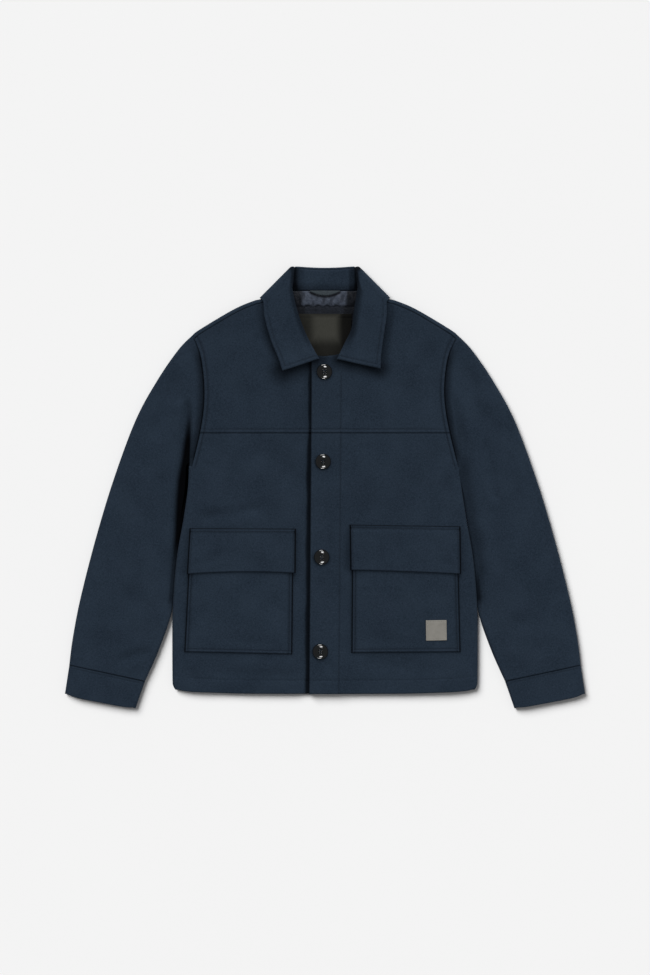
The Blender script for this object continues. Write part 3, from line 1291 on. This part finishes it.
LEAF_OUTER = {
    "right": [(-108, 306), (-101.5, 279.5), (-93, 253), (-83.5, 231), (-75, 206)],
    "left": [(109.5, 306), (105.5, 279.5), (101.5, 253), (99, 231), (98, 209.8)],
}
LEAF_SHADE = {
    "right": {"outer": (0.33, 0, 19), "tip": (0.6, 2, 36)},
    "left": {"outer": (0.3, 8, 17), "tip": (0.62, 1, 27)},
}
FALL_ROLL = 3.65
FALL_WIDE = 62
FALL_UNDER_Y = 336
LEAF_LONG = 165
CORNER_ROLL = 3.2
LEAF_REST = 0.4
LEAF_STITCH = 7
LEAF_LIFT = {"outer": 5, "tip": 3}
FALL_ROLL_STEPS = 8


def collar_bed(x, y):
    """What the collar lies on: both fronts, with the step between them smoothed over."""
    slope = np.where(x < centre_at(y), from_centre(x, y, -1), from_centre(x, y, 1))
    lap = lap_top(y) + LAP_REST + WALL
    body = body_top(x, y)
    return mix(np.maximum(lap, body), body, smooth(0, 1.6 * SLOPE, slope))


top_fold = curve([(-x, y) for x, y in TOP_FOLD[:0:-1]] + TOP_FOLD)


def stand_tone(x, y):
    """It is dark in the crevices beside the leaves, and a little dark down at its foot."""
    beside_right = 0.6 * crease(x, -53, 5) + 0.26 * smooth(-32, -48, x)
    beside_left = 0.42 * smooth(40, 45.5, x) + 0.42 * smooth(50, 54, x)
    foot = 0.38 * smooth(366, 351, y)
    return np.clip(beside_right + beside_left + foot, 0, 0.92) * smooth(335, 350, y)


def stand():
    foot, top = ({side: curve(table, side) for side in (-1, 1)} for table in (STAND_FOOT, STAND_TOP))
    w = np.linspace(0, 1, 14)
    inside = WALL + COLLAR_UNDER - DOUBLED_MELTON
    middle = inside + STAND_FOLD_RADIUS
    back_foot = [foot[-1](1), *((x, STAND_BACK_FOOT_Y) for x in (-64, 64)), foot[1](1)]
    back = polyline(back_foot), lambda t: top_fold(t) - (0, 0.4)

    def row(low, high, t):
        return low(t) + (high(t) - low(t)) * w[:, None]

    def front_columns(side):
        made = []
        for t in np.linspace(0, 1, 30):
            p = row(foot[side], top[side], t)
            z = np.minimum(collar_bed(p[:, 0], p[:, 1]), body_top(p[:, 0], p[:, 1]))
            z = mix(z, middle + STAND_FOLD_RADIUS, smooth(0.6, 1, t))
            made.append((raised(p, z), looking(1, len(w))))
        line = straight(foot[side](1), top[side](1))
        out = np.tile(outward(line, np.array(0.5)) * side, (len(w), 1))
        for angle in np.pi * (0.5 - np.arange(1, 12) / 12):
            made.append(rolled(line(w), out, angle, middle, STAND_FOLD_RADIUS, STAND_FOLD_RADIUS))
        return made

    columns = front_columns(-1)
    columns += [(raised(row(*back, t), inside), looking(-1, len(w))) for t in np.linspace(0, 1, 90)]
    columns += front_columns(1)[::-1]
    at, facing = (np.array([c[k] for c in columns]) for k in (0, 1))
    tone = stand_tone(at[..., 0], at[..., 1])
    return wall("stand_cloth", melton, at, facing, DOUBLED_MELTON, shade=tone, node_name="collar_stand")


def slant_ends(which):
    return [np.array(SLANT[k][:2]) * (SIDES[which], 1) for k in ("neck", "shoulder")]


def leaf_patch(which):
    side = SIDES[which]
    neck, shoulder = slant_ends(which)
    roll, outer = curve(LEAF_ROLL[which]), curve(LEAF_OUTER[which])
    roll_in = lambda share: roll(share) + (side * FALL_ROLL, 0)
    start = joined(backwards(roll_in), straight(roll_in(0), neck))
    end = joined(backwards(outer), straight(outer(0), shoulder))
    low, high = straight(roll_in(1), outer(1)), straight(neck, shoulder)
    return (lambda u, v: spread(low, high, start, end, u, v)), low, end


def leaf_height(which):
    _, tip, outer = leaf_patch(which)
    slant = straight(*slant_ends(which))

    def height(x, y):
        from_tip, from_outer = distance(x, y, tip), distance(x, y, outer)
        d = np.minimum(from_tip, from_outer)
        z = collar_bed(x, y) + LEAF_REST + DOUBLED_MELTON - rounded(d, 1.7, 2.1) - stitched(d, LEAF_STITCH)
        lift = LEAF_LIFT["outer"] * smooth(38, 0, from_outer) + LEAF_LIFT["tip"] * smooth(30, 0, from_tip)
        return z + lift * smooth(8, 60, distance(x, y, slant)) + puckers(d, x + y, 8, 0.22)

    return height


def fall_dusk(at, up, from_roll):
    """How dark a row of the fall is close to its roll, in the neck's shade."""
    on_left, y = at[0, 0] > 0, at[0, 1]
    reach = mix(13, 6, smooth(350, 366, y)) if on_left else 6.5
    deep = (0.62 if on_left else 0.48) * smooth(236, 275, y) + 0.2 * smooth(350, 366, y)
    return deep * smooth(reach, 0, from_roll) * up


def fall():
    """Rows across it, from one leaf's tip round the neck to the other's, each rolled over at the fold."""
    leaves = {SIDES[k]: (leaf_patch(k)[0], leaf_height(k)) for k in SIDES}
    stitch_marks = [*NEAR_EDGE, *(LEAF_STITCH + AROUND_STITCH)]
    w = 1 - places(FALL_WIDE, 2.6, *stitch_marks)[::-1] / FALL_WIDE
    leaf_v = places(LEAF_LONG, 3, *stitch_marks) / LEAF_LONG
    fold_turns = np.arange(1, 16) / 16
    neck, shoulder = SLANT["neck"], SLANT["shoulder"]
    radius = mix(neck[2], shoulder[2], w)
    t = np.linspace(0, 1, 33)
    under = mix(shoulder[1], FALL_UNDER_Y, 4 * t * (1 - t))
    high = polyline(np.stack([mix(-shoulder[0], shoulder[0], t), under], -1))
    start, end = straight(top_fold(0), high(0)), straight(top_fold(1), high(1))

    def leaf_row(side, v):
        patch_at, height = leaves[side]
        p = patch_at(w, np.full(len(w), v))
        z = mix(height(p[:, 0], p[:, 1]), 2 * radius, smooth(0.84, 1, v))
        return raised(p, z), looking(1, len(w)), FALL_ROLL, math.pi / 2

    def fold_row(side, turn):
        angle = math.pi * (0.5 - turn)
        line = straight((neck[0] * side, neck[1]), (shoulder[0] * side, shoulder[1]))
        out = np.tile(np.array([side, 1]) / math.sqrt(2), (len(w), 1))
        at, look = rolled(line(w), out, angle, radius, radius[:, None], radius[:, None])
        return at, look, FALL_ROLL + CORNER_ROLL * math.cos(angle), math.pi / 2

    def back_row(t):
        p = spread(top_fold, high, start, end, np.full(len(w), t), w)
        turn = mix(math.pi / 2, math.pi, float(smooth(0, 0.09, min(t, 1 - t))))
        return raised(p, 0), looking(-1, len(w)), FALL_ROLL + 0.2, turn

    rows = [leaf_row(-1, v) for v in leaf_v] + [fold_row(-1, t) for t in fold_turns]
    rows += [back_row(t) for t in np.linspace(0, 1, 110)]
    rows += [fold_row(1, t) for t in fold_turns[::-1]] + [leaf_row(1, v) for v in leaf_v[::-1]]
    columns, looks, dusk = [], [], []
    from_roll = np.concatenate([np.zeros(FALL_ROLL_STEPS), w * FALL_WIDE])
    for at, look, roll, turn in rows:
        dusk.append(fall_dusk(at, look[0, 2] > 0.2, from_roll))
        ahead = at[0] - at[3]
        ahead = ahead - look[0] * ahead.dot(look[0])
        ahead = ahead / np.linalg.norm(ahead)
        angle = turn * (1 - np.arange(FALL_ROLL_STEPS) / FALL_ROLL_STEPS)[:, None]
        turned = look[0] * np.cos(angle) + ahead * np.sin(angle)
        columns.append(np.concatenate([at[0] + (turned - look[0]) * roll, at]))
        looks.append(np.concatenate([turned, look]))
    at = np.array(columns)
    d = nearest(at[..., 0], at[..., 1], [line for k in SIDES for line in leaf_patch(k)[1:]])
    tone = (0.15 * cleft(d, 1.3) + 0.16 * crease(d, LEAF_STITCH)) * smooth(8, 12, at[..., 2])
    tone = tone + np.array(dusk)
    looks = np.array(looks)
    return wall("fall_cloth", melton, at, looks, DOUBLED_MELTON, shade=tone, node_name="collar_fall")


def shaded_beside(piece, line, deep, near, reach):
    """Darkens a piece close to a line, where the edge of other cloth stands a little off it."""
    count = len(piece.data.vertices)
    at, tone = np.zeros(3 * count, np.float32), np.zeros(count, np.float32)
    shade = piece.data.attributes["shade"].data
    piece.data.vertices.foreach_get("co", at)
    shade.foreach_get("value", tone)
    x, y = at.reshape(-1, 3)[:, :2].T.astype(float) / MM
    tone = np.maximum(tone, deep * smooth(reach, near, distance(x, y, line)))
    shade.foreach_set("value", tone.astype(np.float32))


for which, shades in LEAF_SHADE.items():
    _, tip, outer = leaf_patch(which)
    for piece in yokes.values():
        shaded_beside(piece, tip, *shades["tip"])
        shaded_beside(piece, outer, *shades["outer"])

stand()
fall()
collar_rows = []
for which, side in SIDES.items():
    _, tip, outer = leaf_patch(which)
    outer_in = beside(outer, side * LEAF_STITCH)
    outer_row = lambda s, o=outer_in: o(mix(0.05, 0.72, np.asarray(s)))
    tip_row = lambda s, t=tip: t(mix(0.04, 0.9, np.asarray(s))) + (0, LEAF_STITCH)
    collar_rows += [(line, leaf_height(which)) for line in (outer_row, tip_row)]
sew("collar_topstitching", collar_rows, thread)

# The buttons. Four turned discs of black polyester resin, polished, each with a wide round rim, a dished
# middle and four holes, sewn on with navy thread. The left front's buttonholes end beside them.
BUTTON_Y = [205, 46.5, -122, -288.5]
BUTTON_PROFILE = [
    (0, 2.2), (5.6, 2.25), (7.4, 2.5), (8.6, 3.05), (9.6, 3.7), (10.7, 4.15), (11.8, 4.05), (12.8, 3.4),
    (13.5, 2.4), (13.7, 1.5), (13.2, 0.6), (12, 0), (0, 0),
]
BUTTON_REST = 0.3
BUTTON_HOLE = {"radius": 1.1, "off": 2.1, "deep": 1.7}
BUTTONHOLE_END = {"out": 16.4, "half": 2.6}


def polished_resin():
    """Black polyester resin, tumbled to a near mirror gloss, with faint lapping marks."""
    made, shader = new_material("polished_resin")
    marks = noise(made, 2.5, Detail=3.0)
    fill(made, shader, {
        "Base Color": linear("090b0c"), "IOR": 1.56, "Specular IOR Level": 0.45, "Coat Weight": 0.1,
        "Coat Roughness": 0.05, "Roughness": ranged(made, marks, {"To Min": 0.06, "To Max": 0.16}),
    })
    return made


def button_shape(around=72):
    """A disc with four pits: rings of points from the middle of its top to the middle of its bottom."""
    outline = curve(BUTTON_PROFILE)
    rings = np.concatenate([np.linspace(0.004, 0.24, 26), np.linspace(0.25, 0.58, 24), [0.75, 0.996]])
    radius, height = outline(rings).T
    turn = np.arange(around) * 2 * np.pi / around
    x, y = radius * np.cos(turn)[:, None], radius * np.sin(turn)[:, None]
    z = np.tile(height, (around, 1))
    off, hole = BUTTON_HOLE["off"], BUTTON_HOLE["radius"]
    for cx, cy in ((off, off), (off, -off), (-off, off), (-off, -off)):
        pit = smooth(hole + 0.25, hole - 0.15, np.hypot(x - cx, y - cy))
        z = np.where(z > 1.8, z - BUTTON_HOLE["deep"] * pit, z)
    middles = [[0, 0, height[0]], [0, 0, height[-1]]]
    points = np.concatenate([np.stack([x, y, z], -1).reshape(-1, 3), middles])
    n = len(radius)
    i, j = np.meshgrid(np.arange(around), np.arange(n - 1), indexing="ij")
    ahead = (i + 1) % around
    quads = np.stack([i * n + j, i * n + j + 1, ahead * n + j + 1, ahead * n + j], -1).reshape(-1, 4)
    here, after = i[:, 0] * n, ahead[:, 0] * n
    fans = [np.stack([here, after, np.full(around, around * n)], -1),
            np.stack([after + n - 1, here + n - 1, np.full(around, around * n + 1)], -1)]
    return points, [quads, np.concatenate(fans)]


resin = polished_resin()
disc, disc_faces = button_shape()
hole_rows, tie_rows = [], []
for number, y in enumerate(BUTTON_Y, 1):
    x = centre_at(y)
    base = lap_top(y + 20) + LAP_REST + WALL + BUTTON_REST
    at = disc + (x, y, base)
    mesh_piece(f"resin_button_{number}", resin, at, disc_faces, f"button_{number}", "button")
    off, top = BUTTON_HOLE["off"], base + BUTTON_PROFILE[0][1]
    for side in (-1, 1):
        tie_rows.append((straight(*((x + k * (off + 0.4), y + side * off) for k in (-1, 1))),
                         lambda px, py, z=top: np.full(np.shape(px), z)))
    out, half = BUTTONHOLE_END["out"], BUTTONHOLE_END["half"]
    turned = (out - 2, half), (out, 0), (out - 2, -half)
    end = curve([(x - left, y + up) for left, up in ((9, half), *turned, (9, -half))])
    hole_rows.append((end, yoke_height(1) if y > YOKE_Y else lower_front_height(1)))
sew("button_thread", tie_rows, thread, slot="button", pitch=2.4)
sew("buttonhole_thread", hole_rows, thread, pitch=1.5)
